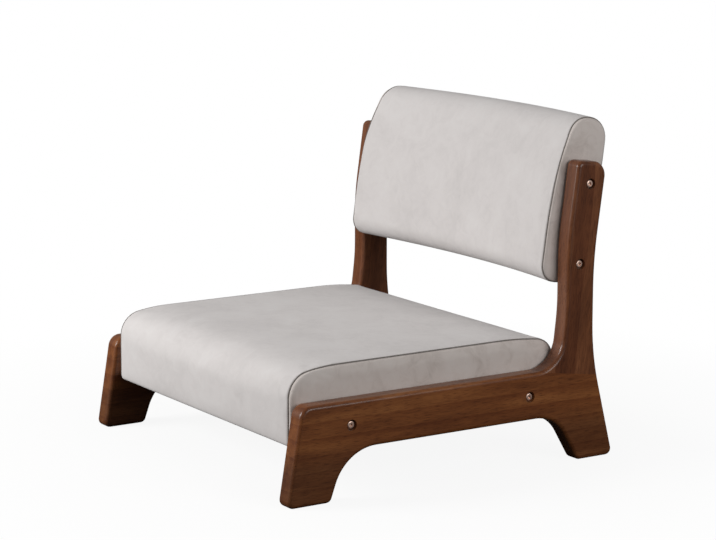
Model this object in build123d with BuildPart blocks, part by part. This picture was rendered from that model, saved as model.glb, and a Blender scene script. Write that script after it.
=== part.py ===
from build123d import *
import math
import os

# Low floor chair: two solid-wood side frames carry an upholstered seat pad and back pad.
# Millimetres. +Z is up, the chair faces -Y and +X is its right side as seen from the front.
# The origin is on the floor, under the middle of the whole chair.


# ---------------------------------------------------------------- driving sizes

# The whole chair
overall_width = 490.0
frame_depth = 480.0
frame_height = 378.0

# Side frames: a base board with two feet, and a post doweled onto it
board_thickness = 25.0
edge_round = 5.0
rail_top = 120.0
rail_height = 59.0
rail_nose_radius = 16.0
front_foot_length = 60.0
front_foot_splay = 9.7
front_foot_inner_lean = 20.0
front_arch_radius = 60.0
rear_foot_length = 56.0
rear_foot_splay = 14.2
rear_foot_inner_lean = 30.4
rear_arch_radius = 50.0
foot_corner_radius = 8.0
heel_radius = 330.0
waist_from_rear = 34.0
post_depth = 41.7
post_lean = 8.2
knee_height = 193.0
knee_lean = 6.8
knee_radius = 300.0
elbow_radius = 40.0
front_bend_height = 276.0
front_bend_radius = 400.0
rear_bend_height = 253.0
rear_bend_radius = 520.0
top_fall = 5.7
top_front_radius = 8.0
top_rear_radius = 18.0

# Dowels between base board and post
dowel_diameter = 10.0
dowel_length = 56.0
dowel_end_gap = 1.0
dowel_places = (50.0, 72.0)

# Upholstery
side_gap = 0.5
cover_thickness = 1.2
cover_fit = 0.1
piping_diameter = 1.8
piping_fit = 0.05
gusset_draw_in = 9.0

# Seat pad
seat_below_front = 20.1
seat_past_waist = 3.4
seat_over_arch = 7.0
seat_over_rail = 38.7
seat_crown = 2.0
seat_seam_inset = 8.5
seat_nose_radius = 32.0
seat_nose_run = 49.5
seat_nose_rise = 9.8
seat_nose_blend = 255.0
seat_tail_radius = 27.0
seat_tail_run = 53.4
seat_tail_fall = 7.8
seat_tail_blend = 420.0
seat_turn_under = 28.0

# Wooden frame inside the seat pad
seat_rail_width = 24.0
seat_rail_height = 42.0
seat_deck_thickness = 9.0
seat_center_rail_height = 30.0
seat_front_padding = 15.0
seat_rear_padding = 16.0
dust_cover_thickness = 0.8
dust_cover_margin = 10.0

# Back pad
back_bottom = 27.0
back_top = 181.0
back_front = 36.8
back_rear = 29.7
back_rear_lean = 2.8
back_concavity = 24.3
back_crown = 2.5
back_seam_inset = 3.5
back_low_bend_height = 50.0
back_low_bend_angle = 3.9
back_low_bend_radius = 600.0
back_high_bend_height = 117.0
back_high_bend_angle = 18.1
back_high_bend_radius = 260.0
back_top_front_radius = 30.0
back_top_rear_radius = 26.0
back_bottom_front_radius = 22.0
back_bottom_rear_radius = 20.0

# Wooden frame inside the back pad
back_frame_thickness = 24.0
back_frame_bottom = 14.0
back_frame_top = 134.0
back_stile_width = 24.0
back_rail_height = 30.0
back_front_panel_thickness = 4.0
back_rear_panel_thickness = 3.0
back_foam_split = 12.0

# Bolts, washers and threaded inserts
seat_bolt_from_front = 88.4
seat_bolt_from_rear = 131.6
back_bolt_below_top = 29.7
back_bolt_pitch = 100.0
bolt_diameter = 6.0
bolt_reach = 19.0
bolt_hole_diameter = 6.6
bolt_head_diameter = 10.0
bolt_head_height = 4.0
bolt_head_round = 1.6
socket_width = 4.0
socket_depth = 2.2
washer_diameter = 12.5
washer_thickness = 1.2
counterbore_diameter = 13.5
counterbore_depth = 7.0
insert_diameter = 10.0
insert_length = 15.0
insert_fit = 0.05
bolt_end_room = 3.0
cover_hole_diameter = 11.0

# Wood screws inside the pads; the heights and places are shares of the board they hold
screw_fit = 0.05
frame_screw_diameter = 5.0
frame_screw_head = 9.0
frame_screw_length = 50.0
frame_screw_heights = (0.25, 0.75)
deck_screw_diameter = 4.0
deck_screw_head = 7.5
deck_screw_length = 25.0
side_deck_screw_places = (-0.2, 0.2)
cross_deck_screw_places = (-0.75, 0, 0.75)


# ---------------------------------------------------------------- places worked out from the sizes

def slope(angle):
    """Sideways run per millimetre of height at an angle from upright, in degrees."""
    return math.tan(math.radians(angle))


up_post = Vector(0, math.sin(math.radians(post_lean)), math.cos(math.radians(post_lean)))
to_rear = Vector(0, up_post.Z, -up_post.Y)

# Across the width
outer_x = overall_width / 2
inner_x = outer_x - board_thickness
board_middle_x = (outer_x + inner_x) / 2

# The back pad overhangs the rear feet, so the origin lies behind the middle of the side frames
back_bolt_top_z = frame_height - back_bolt_below_top
top_bolt_past_waist = slope(post_lean) * (back_bolt_top_z - (front_bend_height + rear_bend_height) / 2)
top_bolt_from_rear = waist_from_rear + post_depth / 2 - top_bolt_past_waist
bend_rise = back_high_bend_height - back_low_bend_height
back_bend_front = back_front - bend_rise * slope(back_low_bend_angle)
back_top_front = back_bend_front - (back_top - back_high_bend_height) * slope(back_high_bend_angle)
back_top_rear = back_rear + (back_top + back_bottom) * slope(back_rear_lean)
rear_round_depth = back_top_rear - back_top_rear_radius * (
    slope(back_rear_lean) + 1 / math.cos(math.radians(back_rear_lean))
)
pad_overhang = (
    to_rear.Y * (rear_round_depth + back_concavity)
    + up_post.Y * (back_top - back_top_rear_radius - back_bolt_pitch)
    + back_top_rear_radius
    + back_crown
    - top_bolt_from_rear
)
toe_rounding = foot_corner_radius * (
    slope(front_foot_splay) + 1 / math.cos(math.radians(front_foot_splay)) - 1
)
front_y = -(frame_depth + pad_overhang + toe_rounding) / 2
rear_y = front_y + frame_depth

# Along the side frame
arch_z = rail_top - rail_height
waist_rear_y = rear_y - waist_from_rear
waist_front_y = waist_rear_y - post_depth
heel_z = waist_from_rear / slope(rear_foot_splay)
elbow_y = waist_front_y - (knee_height - rail_top) * slope(knee_lean)
joint_y = elbow_y - elbow_radius * slope((90 - knee_lean) / 2)

# Top of the post: a line falling to the rear, between the two leaning edges
top_front_y = waist_front_y + (frame_height - front_bend_height) * slope(post_lean)
rear_edge_at_top_y = waist_rear_y + (frame_height - rear_bend_height) * slope(post_lean)
top_drop = (rear_edge_at_top_y - top_front_y) * slope(top_fall) / (1 + slope(top_fall) * slope(post_lean))
top_rear_y = rear_edge_at_top_y - top_drop * slope(post_lean)

# Seat pad
pad_half = inner_x - side_gap
frame_half = pad_half - cover_thickness - cover_fit
seat_seam_x = pad_half - seat_seam_inset
seat_front_y = front_y + seat_below_front
seat_rear_y = waist_front_y + seat_past_waist
seat_bottom_z = arch_z + seat_over_arch
seat_top_z = rail_top + seat_over_rail
seat_frame_bottom_z = seat_bottom_z + cover_thickness + cover_fit
seat_frame_top_z = seat_frame_bottom_z + seat_rail_height
deck_top_z = seat_frame_top_z + seat_deck_thickness
seat_frame_front_y = seat_front_y + seat_front_padding
seat_frame_rear_y = seat_rear_y - seat_rear_padding
seat_frame_middle_y = (seat_frame_front_y + seat_frame_rear_y) / 2
seat_frame_depth = seat_frame_rear_y - seat_frame_front_y

# Bolts through the rail, and through the post along its lean
bolt_length = board_thickness - counterbore_depth + washer_thickness + inner_x - frame_half + bolt_reach
rail_middle_z = (rail_top + arch_z) / 2
seat_bolts_y = [front_y + seat_bolt_from_front, rear_y - seat_bolt_from_rear]
back_bolt_top = Vector(0, rear_y - top_bolt_from_rear, back_bolt_top_z)
back_bolt_low = back_bolt_top - up_post * back_bolt_pitch
seat_bolt_points = [(y, rail_middle_z) for y in seat_bolts_y]
back_bolt_points = [(back_bolt_low.Y, back_bolt_low.Z), (back_bolt_top.Y, back_bolt_top.Z)]
bolt_points = seat_bolt_points + back_bolt_points

# Back pad: its own plane leans with the post, from the lower bolt, +x to the rear and +y up
back_seam_x = pad_half - back_seam_inset
back_radius = (back_seam_x**2 + back_concavity**2) / (2 * back_concavity)


def back_plane(x):
    """Plane across the back pad at x: local x to the rear, local y up the post."""
    return Plane(origin=(x, back_bolt_low.Y, back_bolt_low.Z), x_dir=to_rear, z_dir=(1, 0, 0))


def back_shift(x):
    """How far the curved back pad lies behind its ends at x."""
    return math.sqrt(back_radius**2 - x**2) - back_radius + back_concavity


# ---------------------------------------------------------------- outlines: (y, z, corner radius)

frame_corners = [
    (front_y, 0, foot_corner_radius),
    (front_y + rail_top * slope(front_foot_splay), rail_top, rail_nose_radius),
    (elbow_y, rail_top, elbow_radius),
    (waist_front_y, knee_height, knee_radius),
    (waist_front_y, front_bend_height, front_bend_radius),
    (top_front_y, frame_height, top_front_radius),
    (top_rear_y, frame_height - top_drop, top_rear_radius),
    (waist_rear_y, rear_bend_height, rear_bend_radius),
    (waist_rear_y, heel_z, heel_radius),
    (rear_y, 0, foot_corner_radius),
    (rear_y - rear_foot_length, 0, foot_corner_radius),
    (rear_y - rear_foot_length - arch_z * slope(rear_foot_inner_lean), arch_z, rear_arch_radius),
    (front_y + front_foot_length + arch_z * slope(front_foot_inner_lean), arch_z, front_arch_radius),
    (front_y + front_foot_length, 0, foot_corner_radius),
]

# Both pads start at their lower front corner and end along the bottom
seat_corners = [
    (seat_front_y, seat_bottom_z, 0),
    (seat_front_y, seat_top_z - seat_nose_run * slope(seat_nose_rise), seat_nose_radius),
    (seat_front_y + seat_nose_run, seat_top_z, seat_nose_blend),
    (seat_rear_y - seat_tail_run, seat_top_z, seat_tail_blend),
    (seat_rear_y, seat_top_z - seat_tail_run * slope(seat_tail_fall), seat_tail_radius),
    (seat_rear_y, seat_bottom_z, 0),
]
back_corners = [
    (-back_front, -back_bottom, back_bottom_front_radius),
    (-back_front, back_low_bend_height, back_low_bend_radius),
    (-back_bend_front, back_high_bend_height, back_high_bend_radius),
    (-back_top_front, back_top, back_top_front_radius),
    (back_top_rear, back_top, back_top_rear_radius),
    (back_rear, -back_bottom, back_bottom_rear_radius),
]


def grown(corners, grow, bottom_grow=0.0):
    """The outline with every side moved out by grow, and its bottom, the last side, by bottom_grow."""
    sides = []
    for index, (y, z, radius) in enumerate(corners):
        end_y, end_z, end_radius = corners[(index + 1) % len(corners)]
        along = Vector(end_y - y, end_z - z).normalized()
        move = bottom_grow if index == len(corners) - 1 else grow
        sides.append((Vector(y, z) + Vector(-along.Y, along.X) * move, along))
    moved = []
    for index, (y, z, radius) in enumerate(corners):
        (start, along), (next_start, next_along) = sides[index - 1], sides[index]
        reach = (next_start - start).cross(next_along).Z / along.cross(next_along).Z
        corner = start + along * reach
        moved.append((corner.X, corner.Y, radius + grow if radius else 0))
    return moved


def shifted(corners, shift):
    """The outline moved along its first axis."""
    return [(y + shift, z, radius) for y, z, radius in corners]


def draw_outline(corners):
    """Fill a closed outline with its corners rounded, in the sketch being built."""
    with BuildLine() as outline:
        FilletPolyline(
            *[corner[:2] for corner in corners], radius=[corner[2] for corner in corners], close=True
        )
    make_face(outline.edges())


# ---------------------------------------------------------------- sections of the two cushions

panel_stations = (-1, -0.75, -0.4, 0, 0.4, 0.75, 1)
gusset_angles = (0, 30, 60, 90)


def panel_sections(seam_x, crown, inset):
    """Where the long panel of a cushion is cut across, and how far its outline has grown there."""
    return [(seam_x * share, crown * (1 - share**2) - inset) for share in panel_stations]


def gusset_sections(seam_x, inset, end_room):
    """The same over a side gusset, which rounds in from the seam to its flat outer face."""
    reach = pad_half - end_room - seam_x
    return [
        (
            seam_x + reach * math.sin(math.radians(angle)),
            -gusset_draw_in * (1 - math.cos(math.radians(angle))) - inset,
        )
        for angle in gusset_angles
    ]


def seat_loft(sections, inset, mode=Mode.ADD):
    """Loft a stretch of the seat cushion through its sections, in the part being built."""
    outlines = []
    for x, grow in sections:
        with BuildSketch(Plane.YZ.offset(x)) as outline:
            draw_outline(grown(seat_corners, grow, -inset))
        outlines.append(outline.sketch)
    loft(outlines, mode=mode)


def back_loft(sections, inset, mode=Mode.ADD):
    """Loft a stretch of the back cushion through its sections, in the part being built."""
    outlines = []
    for x, grow in sections:
        with BuildSketch(back_plane(x)) as outline:
            draw_outline(shifted(grown(back_corners, grow, -inset), back_shift(x)))
        outlines.append(outline.sketch)
    loft(outlines, mode=mode)


# ---------------------------------------------------------------- helpers for pairs, bolts and screws

pieces = []


def keep(part, label):
    """Name a finished piece and put it on the list to be written."""
    part.label = label
    pieces.append(part)


def keep_pair(part, name):
    """Keep the right-hand piece and its mirror image on the left."""
    keep(part, "right_" + name)
    with BuildPart() as left:
        mirror(part, about=Plane.YZ)
    keep(left.part, "left_" + name)


def facing_out(x, points):
    """Planes that face +X at x, one at each (y, z) point."""
    return [Plane(origin=(x, y, z), z_dir=(1, 0, 0)) for y, z in points]


def bars(planes, diameter, length, mode=Mode.ADD):
    """A round bar or hole standing on each plane, in the part being built."""
    with Locations(*planes):
        Cylinder(diameter / 2, length, align=(Align.CENTER, Align.CENTER, Align.MIN), mode=mode)


def screws(planes, diameter, head, length):
    """A countersunk screw under each plane, its head flush with it, in the part being built."""
    with Locations(*planes):
        Cylinder(diameter / 2, length, align=(Align.CENTER, Align.CENTER, Align.MAX))
        Cone(diameter / 2, head / 2, (head - diameter) / 2, align=(Align.CENTER, Align.CENTER, Align.MAX))


def screw_holes(planes, diameter, head, depth):
    """The countersunk hole that each screw fills, in the part being built."""
    with Locations(*planes):
        CounterSinkHole(diameter / 2 + screw_fit, head / 2 + screw_fit, depth=depth, counter_sink_angle=90)


# ---------------------------------------------------------------- side frames

with BuildPart() as side_frame:
    with BuildSketch(Plane.YZ.offset(inner_x)):
        draw_outline(frame_corners)
    extrude(amount=board_thickness)
    fillet(side_frame.faces().filter_by(Axis.X).edges(), radius=edge_round)
    with Locations(*facing_out(outer_x, bolt_points)):
        CounterBoreHole(bolt_hole_diameter / 2, counterbore_diameter / 2, counterbore_depth, board_thickness)

joint_plane = Plane(origin=(board_middle_x, joint_y, rail_top), x_dir=to_rear, z_dir=up_post)
dowel_centers = [joint_plane.from_local_coords((place, 0, 0)) for place in dowel_places]
dowel_hole_depth = dowel_length / 2 + dowel_end_gap

with BuildPart() as base_board:
    add(side_frame.part)
    split(bisect_by=joint_plane, keep=Keep.BOTTOM)
    with Locations(*[Plane(origin=center, z_dir=up_post) for center in dowel_centers]):
        Hole(dowel_diameter / 2, depth=dowel_hole_depth)
keep_pair(base_board.part, "base_board")

with BuildPart() as post:
    add(side_frame.part)
    split(bisect_by=joint_plane, keep=Keep.TOP)
    with Locations(*[Plane(origin=center, z_dir=-up_post) for center in dowel_centers]):
        Hole(dowel_diameter / 2, depth=dowel_hole_depth)
keep_pair(post.part, "post")

with BuildPart() as post_dowels:
    with Locations(*[Plane(origin=center, z_dir=up_post) for center in dowel_centers]):
        Cylinder(dowel_diameter / 2, dowel_length)
keep_pair(post_dowels.part, "post_dowels")


# ---------------------------------------------------------------- wooden frame of the seat

seat_side_rail_x = frame_half - seat_rail_width / 2
seat_bay_half = frame_half - seat_rail_width
frame_screw_z = [seat_frame_bottom_z + seat_rail_height * share for share in frame_screw_heights]
frame_screw_y = [seat_frame_front_y + seat_rail_width / 2, seat_frame_rear_y - seat_rail_width / 2]
seat_frame_screw_points = [(y, z) for y in frame_screw_y for z in frame_screw_z]
seat_frame_screw_planes = facing_out(frame_half, seat_frame_screw_points)
screw_bite = frame_screw_length + screw_fit - seat_rail_width
frame_screw_end_x = seat_bay_half - screw_bite
frame_screw_hole = frame_screw_diameter + 2 * screw_fit
side_deck_screws_y = [seat_frame_middle_y + seat_frame_depth * share for share in side_deck_screw_places]
cross_deck_screws_x = [seat_bay_half * share for share in cross_deck_screw_places]
deck_screw_points = [(x, y) for x in cross_deck_screws_x for y in frame_screw_y]
deck_screw_points += [(x, y) for x in (-seat_side_rail_x, seat_side_rail_x) for y in side_deck_screws_y]


def bolt_seats(points):
    """Insert pockets and bolt room in the wood behind the side gusset, in the part being built."""
    depth = bolt_reach + bolt_end_room
    with Locations(*facing_out(frame_half, points)):
        CounterBoreHole(bolt_hole_diameter / 2, insert_diameter / 2, insert_length, depth)


def deck_screw_pilots(points):
    """Pilot holes for the deck screws in the top of a rail, in the part being built."""
    with Locations(*[(x, y, seat_frame_top_z) for x, y in points]):
        Hole(deck_screw_diameter / 2 + screw_fit, depth=deck_screw_length - seat_deck_thickness)


with BuildPart() as seat_side_rail:
    with BuildSketch(Plane.XY.offset(seat_frame_bottom_z)):
        with Locations((seat_side_rail_x, seat_frame_middle_y)):
            Rectangle(seat_rail_width, seat_frame_depth)
    extrude(amount=seat_rail_height)
    bolt_seats(seat_bolt_points)
    screw_holes(seat_frame_screw_planes, frame_screw_diameter, frame_screw_head, seat_rail_width)
    deck_screw_pilots([(seat_side_rail_x, y) for y in side_deck_screws_y])
keep_pair(seat_side_rail.part, "seat_side_rail")

for rail_name, rail_y in zip(("seat_front_rail", "seat_rear_rail"), frame_screw_y):
    screw_points = [(rail_y, z) for z in frame_screw_z]
    with BuildPart() as cross_rail:
        with BuildSketch(Plane.XY.offset(seat_frame_bottom_z)):
            with Locations((0, rail_y)):
                Rectangle(2 * seat_bay_half, seat_rail_width)
        extrude(amount=seat_rail_height)
        for end_x in (frame_screw_end_x, -seat_bay_half):
            bars(facing_out(end_x, screw_points), frame_screw_hole, screw_bite, Mode.SUBTRACT)
        deck_screw_pilots([(x, rail_y) for x in cross_deck_screws_x])
    keep(cross_rail.part, rail_name)

with BuildPart() as seat_center_rail:
    with BuildSketch(Plane.XY.offset(seat_frame_top_z)):
        with Locations((0, seat_frame_middle_y)):
            Rectangle(seat_rail_width, seat_frame_depth - 2 * seat_rail_width)
    extrude(amount=-seat_center_rail_height)
keep(seat_center_rail.part, "seat_center_rail")

deck_screw_planes = [Plane(origin=(x, y, deck_top_z)) for x, y in deck_screw_points]
with BuildPart() as seat_deck:
    with BuildSketch(Plane.XY.offset(seat_frame_top_z)):
        with Locations((0, seat_frame_middle_y)):
            Rectangle(2 * frame_half, seat_frame_depth)
    extrude(amount=seat_deck_thickness)
    screw_holes(deck_screw_planes, deck_screw_diameter, deck_screw_head, seat_deck_thickness)
keep(seat_deck.part, "seat_deck")

with BuildPart() as seat_deck_screws:
    screws(deck_screw_planes, deck_screw_diameter, deck_screw_head, deck_screw_length)
keep(seat_deck_screws.part, "seat_deck_screws")

with BuildPart() as seat_frame_screws:
    screws(seat_frame_screw_planes, frame_screw_diameter, frame_screw_head, frame_screw_length)
    mirror(about=Plane.YZ)
keep(seat_frame_screws.part, "seat_frame_screws")


# ---------------------------------------------------------------- seat upholstery

foam_inset = cover_thickness + cover_fit

with BuildPart() as seat_foam:
    seat_loft(panel_sections(seat_seam_x, seat_crown, foam_inset), foam_inset)
    seat_loft(gusset_sections(seat_seam_x, foam_inset, foam_inset), foam_inset)
    mirror(seat_foam.solids().sort_by(Axis.X)[-1], about=Plane.YZ)
    with BuildSketch(Plane.XY.offset(seat_bottom_z)):
        with Locations((0, seat_frame_middle_y)):
            Rectangle(overall_width, seat_frame_depth + 2 * cover_fit)
    extrude(amount=deck_top_z + cover_fit - seat_bottom_z, mode=Mode.SUBTRACT)
keep(seat_foam.part, "seat_foam")

with BuildPart() as seat_cover:
    seat_loft(panel_sections(seat_seam_x, seat_crown, 0), 0)
    seat_loft(panel_sections(seat_seam_x, seat_crown, cover_thickness), cover_thickness, Mode.SUBTRACT)
    with BuildSketch(Plane.XY.offset(seat_bottom_z)):
        with Locations((0, (seat_front_y + seat_rear_y) / 2)):
            Rectangle(2 * seat_seam_x, seat_rear_y - seat_front_y - 2 * seat_turn_under)
    extrude(amount=cover_thickness, mode=Mode.SUBTRACT)
keep(seat_cover.part, "seat_cover")

with BuildPart() as seat_gusset:
    seat_loft(gusset_sections(seat_seam_x, 0, 0), 0)
    seat_loft(gusset_sections(seat_seam_x, cover_thickness, cover_thickness), cover_thickness, Mode.SUBTRACT)
    gusset_depth = pad_half - seat_seam_x
    bars(facing_out(seat_seam_x, seat_bolt_points), cover_hole_diameter, gusset_depth, Mode.SUBTRACT)
keep_pair(seat_gusset.part, "seat_gusset")

with BuildPart() as seat_piping:
    with BuildLine(Plane.YZ.offset(seat_seam_x)) as seat_seam:
        seam_corners = grown(seat_corners, piping_diameter / 2 + piping_fit)
        FilletPolyline(
            *[corner[:2] for corner in seam_corners], radius=[corner[2] for corner in seam_corners[1:-1]]
        )
    with BuildSketch(Plane(origin=seat_seam.line @ 0, z_dir=seat_seam.line % 0)):
        Circle(piping_diameter / 2)
    sweep()
keep_pair(seat_piping.part, "seat_piping")

with BuildPart() as seat_dust_cover:
    with BuildSketch(Plane.XY.offset(seat_bottom_z)):
        with Locations((0, (seat_front_y + seat_rear_y) / 2)):
            Rectangle(
                2 * (seat_seam_x - dust_cover_margin), seat_rear_y - seat_front_y - 2 * dust_cover_margin
            )
    extrude(amount=-dust_cover_thickness)
keep(seat_dust_cover.part, "seat_dust_cover")


# ---------------------------------------------------------------- wooden frame of the back

def curved_slab(front, rear, bottom, top, half_width, mode=Mode.ADD):
    """A board sawn to the curve of the back pad, between two local depths, in the part being built."""
    plane = Plane(
        origin=Vector(0, back_bolt_low.Y, back_bolt_low.Z) + up_post * bottom, x_dir=(1, 0, 0), z_dir=up_post
    )
    with BuildSketch(plane) as slab:
        with BuildLine() as edge:
            ends = []
            for depth in (front, rear):
                end_depth = depth + back_shift(half_width)
                ThreePointArc((-half_width, end_depth), (0, depth + back_concavity), (half_width, end_depth))
                ends.append(end_depth)
            for side in (-half_width, half_width):
                Line((side, ends[0]), (side, ends[1]))
        make_face(edge.edges())
    extrude(slab.sketch, amount=top - bottom, mode=mode)


half_thickness = back_frame_thickness / 2
back_bay_half = frame_half - back_stile_width
panel_front = -half_thickness - back_front_panel_thickness
panel_rear = half_thickness + back_rear_panel_thickness

with BuildPart() as back_stile:
    curved_slab(-half_thickness, half_thickness, -back_frame_bottom, back_frame_top, frame_half)
    split(bisect_by=Plane.YZ.offset(back_bay_half), keep=Keep.TOP)
    bolt_seats(back_bolt_points)
keep_pair(back_stile.part, "back_stile")

back_rails = {
    "back_bottom_rail": (-back_frame_bottom, back_rail_height - back_frame_bottom),
    "back_top_rail": (back_frame_top - back_rail_height, back_frame_top),
}
for rail_name, (rail_bottom, rail_top_edge) in back_rails.items():
    with BuildPart() as back_rail:
        curved_slab(-half_thickness, half_thickness, rail_bottom, rail_top_edge, back_bay_half)
    keep(back_rail.part, rail_name)

with BuildPart() as back_front_panel:
    curved_slab(panel_front, -half_thickness, -back_frame_bottom, back_frame_top, frame_half)
keep(back_front_panel.part, "back_front_panel")

with BuildPart() as back_rear_panel:
    curved_slab(half_thickness, panel_rear, -back_frame_bottom, back_frame_top, frame_half)
keep(back_rear_panel.part, "back_rear_panel")


# ---------------------------------------------------------------- back upholstery

foam_split = Plane(back_plane(0).from_local_coords((back_foam_split, 0, 0)), z_dir=to_rear)
with BuildPart() as back_foam:
    back_loft(panel_sections(back_seam_x, back_crown, foam_inset), foam_inset)
    back_loft(gusset_sections(back_seam_x, foam_inset, foam_inset), foam_inset)
    mirror(back_foam.solids().sort_by(Axis.X)[-1], about=Plane.YZ)
    curved_slab(
        panel_front - cover_fit,
        panel_rear + cover_fit,
        -back_frame_bottom - cover_fit,
        back_frame_top + cover_fit,
        inner_x,
        Mode.SUBTRACT,
    )

for label, side in (("back_front_foam", Keep.BOTTOM), ("back_rear_foam", Keep.TOP)):
    with BuildPart() as foam_half:
        split(back_foam.part, bisect_by=foam_split, keep=side)
    keep(foam_half.part, label)

with BuildPart() as back_cover:
    back_loft(panel_sections(back_seam_x, back_crown, 0), 0)
    back_loft(panel_sections(back_seam_x, back_crown, cover_thickness), cover_thickness, Mode.SUBTRACT)
keep(back_cover.part, "back_cover")

with BuildPart() as back_gusset:
    back_loft(gusset_sections(back_seam_x, 0, 0), 0)
    back_loft(gusset_sections(back_seam_x, cover_thickness, cover_thickness), cover_thickness, Mode.SUBTRACT)
    gusset_depth = pad_half - back_seam_x
    bars(facing_out(back_seam_x, back_bolt_points), cover_hole_diameter, gusset_depth, Mode.SUBTRACT)
keep_pair(back_gusset.part, "back_gusset")

with BuildPart() as back_piping:
    with BuildLine(back_plane(back_seam_x)) as back_seam:
        seam_corners = grown(back_corners, piping_diameter / 2 + piping_fit, piping_diameter / 2 + piping_fit)
        FilletPolyline(
            *[corner[:2] for corner in seam_corners],
            radius=[corner[2] for corner in seam_corners],
            close=True,
        )
    with BuildSketch(Plane(origin=back_seam.wires()[0] @ 0, z_dir=back_seam.wires()[0] % 0)):
        Circle(piping_diameter / 2)
    sweep()
keep_pair(back_piping.part, "back_piping")


# ---------------------------------------------------------------- bolts, washers and inserts

floor_x = outer_x - counterbore_depth

with BuildPart() as bolt:
    Cylinder(bolt_head_diameter / 2, bolt_head_height, align=(Align.CENTER, Align.CENTER, Align.MIN))
    fillet(bolt.edges().sort_by(Axis.Z)[-1], radius=bolt_head_round)
    Cylinder(bolt_diameter / 2, bolt_length, align=(Align.CENTER, Align.CENTER, Align.MAX))
    with BuildSketch(Plane.XY.offset(bolt_head_height)):
        RegularPolygon(socket_width / 2, 6, major_radius=False)
    extrude(amount=-socket_depth, mode=Mode.SUBTRACT)

with BuildPart() as washer:
    Cylinder(washer_diameter / 2, washer_thickness, align=(Align.CENTER, Align.CENTER, Align.MIN))
    Hole(bolt_hole_diameter / 2)

with BuildPart() as insert:
    Cylinder(insert_diameter / 2 - insert_fit, insert_length, align=(Align.CENTER, Align.CENTER, Align.MAX))
    Hole(bolt_diameter / 2 + insert_fit)


def keep_fasteners(part, x, points, label):
    """Keep one group node of equal fasteners: the part at every bolt point on both sides."""
    with BuildPart() as group:
        with Locations(*facing_out(x, points)):
            add(part)
        mirror(about=Plane.YZ)
    keep(group.part, label)


for pad, points in (("seat", seat_bolt_points), ("back", back_bolt_points)):
    keep_fasteners(bolt.part, floor_x + washer_thickness, points, pad + "_bolts")
    keep_fasteners(washer.part, floor_x, points, pad + "_bolt_washers")
    keep_fasteners(insert.part, frame_half, points, pad + "_inserts")


os.makedirs("parts", exist_ok=True)
for part in pieces:
    export_step(part, "parts/" + part.label + ".step")
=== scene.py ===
import math

import bmesh
import bpy
from mathutils import Matrix, Vector


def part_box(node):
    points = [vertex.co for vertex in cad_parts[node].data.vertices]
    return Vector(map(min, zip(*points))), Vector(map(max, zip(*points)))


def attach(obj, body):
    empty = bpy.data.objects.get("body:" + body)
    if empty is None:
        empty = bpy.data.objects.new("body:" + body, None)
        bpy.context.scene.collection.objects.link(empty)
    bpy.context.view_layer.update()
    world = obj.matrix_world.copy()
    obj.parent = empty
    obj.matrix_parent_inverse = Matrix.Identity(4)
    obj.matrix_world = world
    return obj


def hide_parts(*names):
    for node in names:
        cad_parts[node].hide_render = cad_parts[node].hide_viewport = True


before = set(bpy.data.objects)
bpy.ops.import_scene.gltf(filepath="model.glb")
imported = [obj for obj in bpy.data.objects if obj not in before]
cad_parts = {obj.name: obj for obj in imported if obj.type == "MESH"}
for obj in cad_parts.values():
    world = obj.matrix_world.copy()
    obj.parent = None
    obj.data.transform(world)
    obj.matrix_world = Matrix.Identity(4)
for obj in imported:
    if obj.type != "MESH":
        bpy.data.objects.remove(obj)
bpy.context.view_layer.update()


# ---- Base boards
# Each side frame stands on one 25 mm walnut board, sawn with a foot at each end and an arch
# between them. Its edges are rounded over, and it is stained dark and sprayed with satin lacquer.

MM = 0.001


def linear(hex_color):
    """An sRGB hex colour as the linear RGBA that Blender's sockets take."""
    channels = [int(hex_color[i:i + 2], 16) / 255 for i in (1, 3, 5)]
    return [c / 12.92 if c <= 0.04045 else ((c + 0.055) / 1.055) ** 2.4 for c in channels] + [1.0]


def add_node(tree, kind, inputs=(), stops=(), **settings):
    """Adds a shader node, sets its properties, fills or links its inputs, and gives a colour ramp
    its (position, hex colour) stops."""
    node = tree.nodes.new(kind)
    for name, value in settings.items():
        setattr(node, name, value)
    for socket, value in dict(inputs).items():
        if isinstance(value, bpy.types.NodeSocket):
            tree.links.new(value, node.inputs[socket])
        else:
            node.inputs[socket].default_value = value
    if stops:
        points = node.color_ramp.elements
        while len(points) < len(stops):
            points.new(0.5)
        for point, (position, color) in zip(points, stops):
            point.position = position
            point.color = linear(color)
    return node


def new_material(name):
    """An empty node material and its tree."""
    material = bpy.data.materials.new(name)
    material.use_nodes = True
    material.node_tree.nodes.clear()
    return material, material.node_tree


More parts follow.
